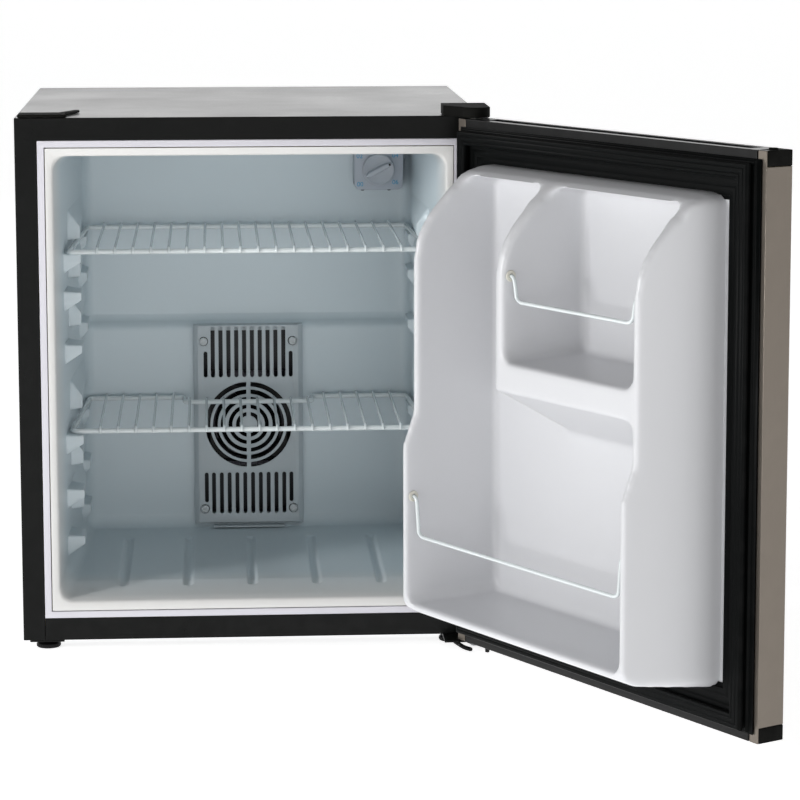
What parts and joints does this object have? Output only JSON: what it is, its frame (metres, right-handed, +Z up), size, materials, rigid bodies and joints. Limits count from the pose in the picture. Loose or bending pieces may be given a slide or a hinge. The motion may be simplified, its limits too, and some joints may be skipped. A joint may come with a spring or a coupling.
{
  "type": "mini fridge",
  "caption": "Compact thermoelectric fridge, black cabinet with a steel-faced door standing open, wire shelves, a fan grille inside and racks in the door.",
  "frame": {"origin": "centre of the cabinet's underside, on the base plate; the feet reach 9.5 mm below it", "axes": "+Z up, -Y towards the user (the door side), +X towards the hinge side"},
  "size_m": [0.6599, 0.8576, 0.5195],
  "materials": {
    "black_steel": "gloss black powder coat with a fine leather texture",
    "black_plastic": "fine matt black moulded plastic",
    "black_rubber": "soft black seal rubber",
    "zinc_steel": "zinc-plated steel",
    "stainless": "warm brushed stainless steel, vertical grain",
    "liner_plastic": "smooth white moulded liner",
    "strip_plastic": "satin white strip",
    "door_liner_plastic": "satin white moulded door liner",
    "grille_plastic": "satin light grey plastic",
    "thermostat_plastic": "satin grey plastic",
    "knob_plastic": "satin grey plastic",
    "screw_cap_plastic": "light grey coated screw",
    "white_wire": "white plastic-coated steel wire",
    "foam": "pale yellow polyurethane foam",
    "aluminium": "extruded aluminium",
    "ceramic_plate": "white alumina plate",
    "circuit_board": "green circuit board",
    "bush_plastic": "natural nylon"
  },
  "bodies": {
    "cabinet": {"cabinet_shell": "black_steel", "bottom_rail": "black_steel", "base_plate": "zinc_steel", "rear_rail": "zinc_steel", "back_panel": "black_steel", "inner_liner": "liner_plastic", "breaker_frame": "strip_plastic", "foam_insulation": "foam", "top_hinge_bracket": "zinc_steel", "top_hinge_pin": "zinc_steel", "top_hinge_screw_1": "zinc_steel", "top_hinge_screw_2": "zinc_steel", "top_hinge_cover": "black_plastic", "top_left_plug": "black_plastic", "bottom_hinge_bracket": "black_steel", "bottom_hinge_pin": "zinc_steel", "foot_plate": "black_steel", "foot_rear_left": "black_rubber", "foot_rear_right": "black_rubber", "thermostat_housing": "thermostat_plastic", "fan_cover": "grille_plastic", "fan_cover_screw_1": "screw_cap_plastic", "fan_cover_screw_2": "screw_cap_plastic", "fan_cover_screw_3": "screw_cap_plastic", "fan_cover_screw_4": "screw_cap_plastic", "inner_fan_frame": "black_plastic", "cold_heat_sink": "aluminium", "cold_block": "aluminium", "peltier_module": "ceramic_plate", "hot_heat_sink": "aluminium", "rear_housing": "black_plastic", "rear_fan_frame": "black_plastic", "rear_cover": "black_plastic", "rear_cover_screw_1": "zinc_steel", "rear_cover_screw_2": "zinc_steel", "power_board": "circuit_board", "cord_gland": "black_rubber"},
    "door": {"door_skin": "stainless", "door_top_cap": "black_plastic", "door_bottom_cap": "black_plastic", "door_corner_plug_top": "black_plastic", "door_corner_plug_bottom": "black_plastic", "top_hinge_bush": "bush_plastic", "bottom_hinge_bush": "bush_plastic", "door_foam": "foam", "door_liner": "door_liner_plastic", "door_gasket": "black_rubber", "upper_eyelet_free_side": "bush_plastic", "upper_eyelet_hinge_side": "bush_plastic", "lower_eyelet_free_side": "bush_plastic", "lower_eyelet_hinge_side": "bush_plastic"},
    "upper_shelf": {"upper_shelf": "white_wire"},
    "lower_shelf": {"lower_shelf": "white_wire"},
    "upper_bottle_bar": {"upper_bottle_bar": "white_wire"},
    "lower_bottle_bar": {"lower_bottle_bar": "white_wire"},
    "thermostat_knob": {"thermostat_knob": "knob_plastic"},
    "inner_fan_rotor": {"inner_fan_rotor": "black_plastic"},
    "rear_fan_rotor": {"rear_fan_rotor": "black_plastic"},
    "foot_front_left": {"foot_front_left": "black_plastic"},
    "foot_front_right": {"foot_front_right": "black_plastic"}
  },
  "joints": [
    {"name": "door_hinge", "type": "hinge", "parent": "cabinet", "child": "door", "pos_m": [0.211, -0.249, 0.25], "axis": [0, 0, 1], "range_deg": [-120.2, 34.8]},
    {"name": "upper_shelf_slide", "type": "slide", "parent": "cabinet", "child": "upper_shelf", "axis": [0, -1, 0], "range_m": [0, 0.165]},
    {"name": "lower_shelf_slide", "type": "slide", "parent": "cabinet", "child": "lower_shelf", "axis": [0, -1, 0], "range_m": [0, 0.165]},
    {"name": "upper_bar_pivot", "type": "hinge", "parent": "door", "child": "upper_bottle_bar", "pos_m": [0.26909, -0.53569, 0.377], "axis": [-0.503, 0.8643, 0], "range_deg": [0, 95]},
    {"name": "lower_bar_pivot", "type": "hinge", "parent": "door", "child": "lower_bottle_bar", "pos_m": [0.22466, -0.48519, 0.161], "axis": [-0.503, 0.8643, 0], "range_deg": [0, 95]},
    {"name": "thermostat_turn", "type": "hinge", "parent": "cabinet", "child": "thermostat_knob", "pos_m": [0.1364, 0.055, 0.4242], "axis": [0, -1, 0], "range_deg": [-120, 120]},
    {"name": "inner_fan_spin", "type": "hinge", "parent": "cabinet", "child": "inner_fan_rotor", "pos_m": [0, 0.085, 0.1556], "axis": [0, -1, 0], "continuous": true},
    {"name": "rear_fan_spin", "type": "hinge", "parent": "cabinet", "child": "rear_fan_rotor", "pos_m": [0, 0.19, 0.1556], "axis": [0, 1, 0], "continuous": true},
    {"name": "foot_left_turn", "type": "hinge", "parent": "cabinet", "child": "foot_front_left", "pos_m": [-0.197, -0.207, 0], "axis": [0, 0, 1], "range_deg": [-720, 720]},
    {"name": "foot_right_turn", "type": "hinge", "parent": "cabinet", "child": "foot_front_right", "pos_m": [0.191, -0.207, 0], "axis": [0, 0, 1], "range_deg": [-720, 720]}
  ]
}
